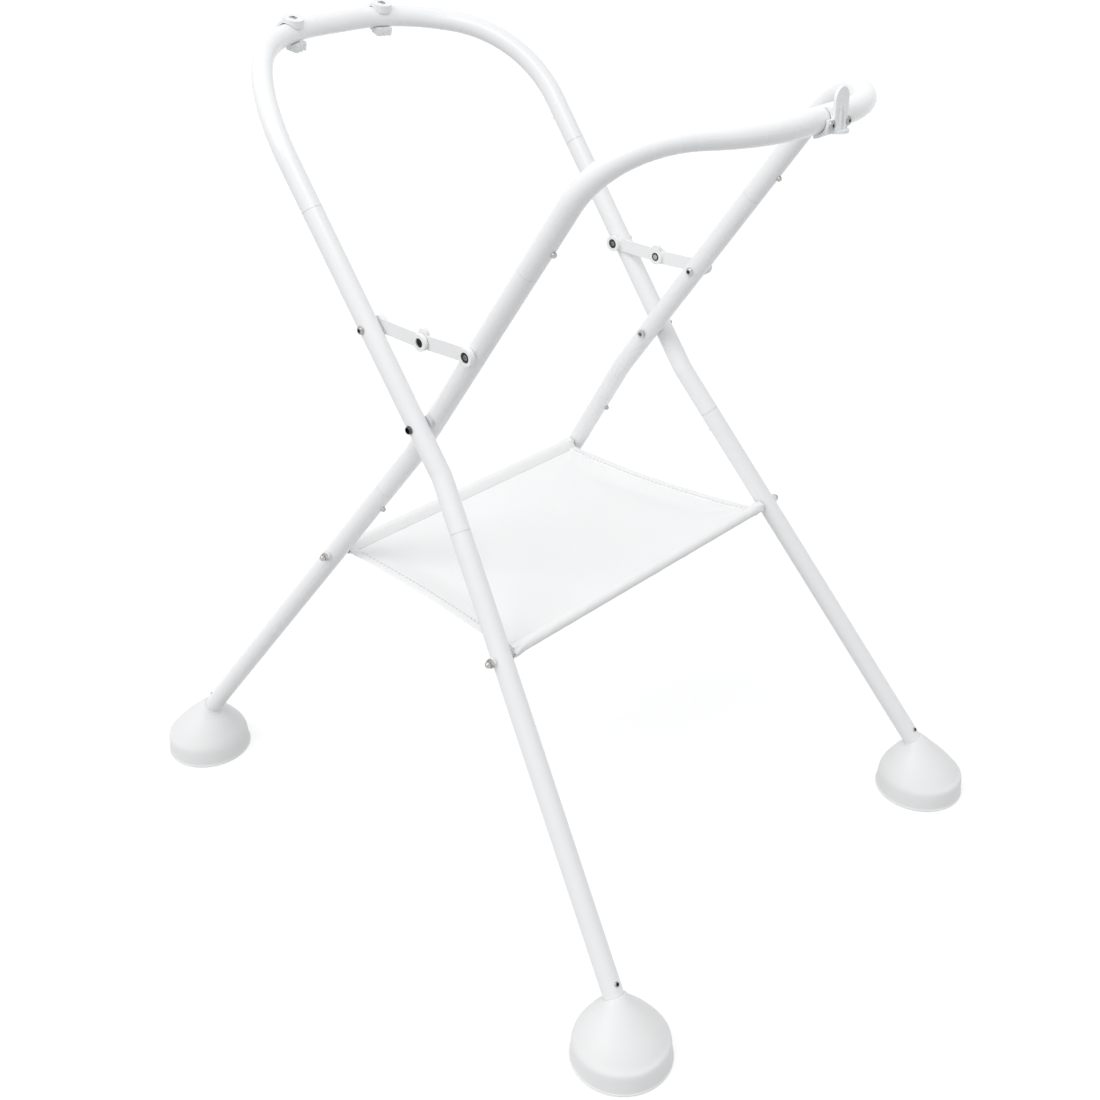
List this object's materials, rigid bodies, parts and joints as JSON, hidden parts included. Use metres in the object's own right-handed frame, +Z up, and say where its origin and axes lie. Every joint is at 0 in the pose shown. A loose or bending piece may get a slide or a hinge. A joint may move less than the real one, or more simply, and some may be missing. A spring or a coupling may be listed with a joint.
{
  "type": "baby bath stand",
  "caption": "Folding X-frame stand for a baby bath, with curved top rails, rim clips, locking side braces, bell feet and a cloth shelf between the legs.",
  "frame": {"origin": "on the floor, in the middle of the footprint of the four feet", "axes": "+Z up, +X across the stand along the pivots, +Y from the feet of the outer frame towards those of the inner frame"},
  "size_m": [0.7712, 0.9496, 1.0133],
  "materials": {
    "frame_paint": "glossy white powder coat",
    "brace_white": "glossy white moulding",
    "foot_plastic": "satin white moulding",
    "clip_plastic": "glossy pale moulding",
    "bright_steel": "bright plated",
    "dark_steel": "blackened screws",
    "spring_steel": "spring leaf",
    "spacer_plastic": "pale grey nylon",
    "shelf_fabric": "plain white woven cloth"
  },
  "bodies": {
    "outer_frame": {"top_tube_outer": "frame_paint", "mid_tube_outer_left": "frame_paint", "mid_tube_outer_right": "frame_paint", "leg_tube_outer_left": "frame_paint", "leg_tube_outer_right": "frame_paint", "foot_outer_left": "foot_plastic", "foot_outer_right": "foot_plastic", "foot_screws_outer": "dark_steel", "button_springs_outer": "spring_steel", "brace_screws_outer": "bright_steel", "brace_nuts_outer": "bright_steel", "pivot_bolts": "dark_steel", "pivot_nuts": "dark_steel", "pivot_spacers": "spacer_plastic", "shelf_rod_outer": "frame_paint", "rod_washers_outer": "foot_plastic", "rod_cap_nuts_outer": "bright_steel", "shelf_cloth": "shelf_fabric", "rim_clip_outer_left": "clip_plastic", "rim_clip_outer_right": "clip_plastic", "clip_screws_outer": "dark_steel"},
    "inner_frame": {"top_tube_inner": "frame_paint", "mid_tube_inner_left": "frame_paint", "mid_tube_inner_right": "frame_paint", "leg_tube_inner_left": "frame_paint", "leg_tube_inner_right": "frame_paint", "foot_inner_left": "foot_plastic", "foot_inner_right": "foot_plastic", "foot_screws_inner": "dark_steel", "button_springs_inner": "spring_steel", "brace_screws_inner": "bright_steel", "brace_nuts_inner": "bright_steel", "shelf_rod_inner": "frame_paint", "rod_washers_inner": "foot_plastic", "rod_cap_nuts_inner": "bright_steel", "rim_clip_inner": "clip_plastic", "clip_screws_inner": "dark_steel"},
    "brace_outer_left": {"brace_outer_left": "brace_white", "knuckle_screw_left": "bright_steel"},
    "brace_inner_left": {"brace_inner_left": "brace_white", "knuckle_nut_left": "bright_steel"},
    "brace_outer_right": {"brace_outer_right": "brace_white", "knuckle_screw_right": "bright_steel"},
    "brace_inner_right": {"brace_inner_right": "brace_white", "knuckle_nut_right": "bright_steel"},
    "button_outer_upper_left": {"button_outer_upper_left": "bright_steel"},
    "button_outer_upper_right": {"button_outer_upper_right": "bright_steel"},
    "button_outer_lower_left": {"button_outer_lower_left": "bright_steel"},
    "button_outer_lower_right": {"button_outer_lower_right": "bright_steel"},
    "button_inner_upper_left": {"button_inner_upper_left": "bright_steel"},
    "button_inner_upper_right": {"button_inner_upper_right": "bright_steel"},
    "button_inner_lower_left": {"button_inner_lower_left": "bright_steel"},
    "button_inner_lower_right": {"button_inner_lower_right": "bright_steel"}
  },
  "joints": [
    {"name": "fold", "type": "hinge", "parent": "outer_frame", "child": "inner_frame", "pos_m": [0, 0, 0.62], "axis": [-1, 0, 0], "range_deg": [0, 58], "deforming": ["shelf_cloth"]},
    {"name": "brace_outer_left_turn", "type": "hinge", "parent": "outer_frame", "child": "brace_outer_left", "pos_m": [-0.2053, 0.07383, 0.72087], "axis": [-1, 0, 0], "range_deg": [0, 108.7]},
    {"name": "brace_inner_left_turn", "type": "hinge", "parent": "inner_frame", "child": "brace_inner_left", "pos_m": [-0.2053, -0.07383, 0.72087], "axis": [1, 0, 0], "range_deg": [0, 108.7]},
    {"name": "brace_outer_right_turn", "type": "hinge", "parent": "outer_frame", "child": "brace_outer_right", "pos_m": [0.2053, 0.07383, 0.72087], "axis": [-1, 0, 0], "range_deg": [0, 108.7]},
    {"name": "brace_inner_right_turn", "type": "hinge", "parent": "inner_frame", "child": "brace_inner_right", "pos_m": [0.2053, -0.07383, 0.72087], "axis": [1, 0, 0], "range_deg": [0, 108.7]},
    {"name": "press_outer_upper_left", "type": "slide", "parent": "outer_frame", "child": "button_outer_upper_left", "axis": [0, -0.807, 0.5906], "range_m": [0, 0.004], "stiffness_N_per_m": 500, "springref_m": -0.004, "deforming": ["button_springs_outer"]},
    {"name": "press_outer_upper_right", "type": "slide", "parent": "outer_frame", "child": "button_outer_upper_right", "axis": [0, -0.807, 0.5906], "range_m": [0, 0.004], "stiffness_N_per_m": 500, "springref_m": -0.004, "deforming": ["button_springs_outer"]},
    {"name": "press_outer_lower_left", "type": "slide", "parent": "outer_frame", "child": "button_outer_lower_left", "axis": [0, -0.807, 0.5906], "range_m": [0, 0.004], "stiffness_N_per_m": 500, "springref_m": -0.004, "deforming": ["button_springs_outer"]},
    {"name": "press_outer_lower_right", "type": "slide", "parent": "outer_frame", "child": "button_outer_lower_right", "axis": [0, -0.807, 0.5906], "range_m": [0, 0.004], "stiffness_N_per_m": 500, "springref_m": -0.004, "deforming": ["button_springs_outer"]},
    {"name": "press_inner_upper_left", "type": "slide", "parent": "inner_frame", "child": "button_inner_upper_left", "axis": [0, 0.807, 0.5906], "range_m": [0, 0.004], "stiffness_N_per_m": 500, "springref_m": -0.004, "deforming": ["button_springs_inner"]},
    {"name": "press_inner_upper_right", "type": "slide", "parent": "inner_frame", "child": "button_inner_upper_right", "axis": [0, 0.807, 0.5906], "range_m": [0, 0.004], "stiffness_N_per_m": 500, "springref_m": -0.004, "deforming": ["button_springs_inner"]},
    {"name": "press_inner_lower_left", "type": "slide", "parent": "inner_frame", "child": "button_inner_lower_left", "axis": [0, 0.807, 0.5906], "range_m": [0, 0.004], "stiffness_N_per_m": 500, "springref_m": -0.004, "deforming": ["button_springs_inner"]},
    {"name": "press_inner_lower_right", "type": "slide", "parent": "inner_frame", "child": "button_inner_lower_right", "axis": [0, 0.807, 0.5906], "range_m": [0, 0.004], "stiffness_N_per_m": 500, "springref_m": -0.004, "deforming": ["button_springs_inner"]}
  ],
  "couplings": [
    {"joint": "brace_outer_left_turn", "follows": "fold", "ratio": 1.87},
    {"joint": "brace_inner_left_turn", "follows": "fold", "ratio": 1.87},
    {"joint": "brace_outer_right_turn", "follows": "fold", "ratio": 1.87},
    {"joint": "brace_inner_right_turn", "follows": "fold", "ratio": 1.87}
  ]
}
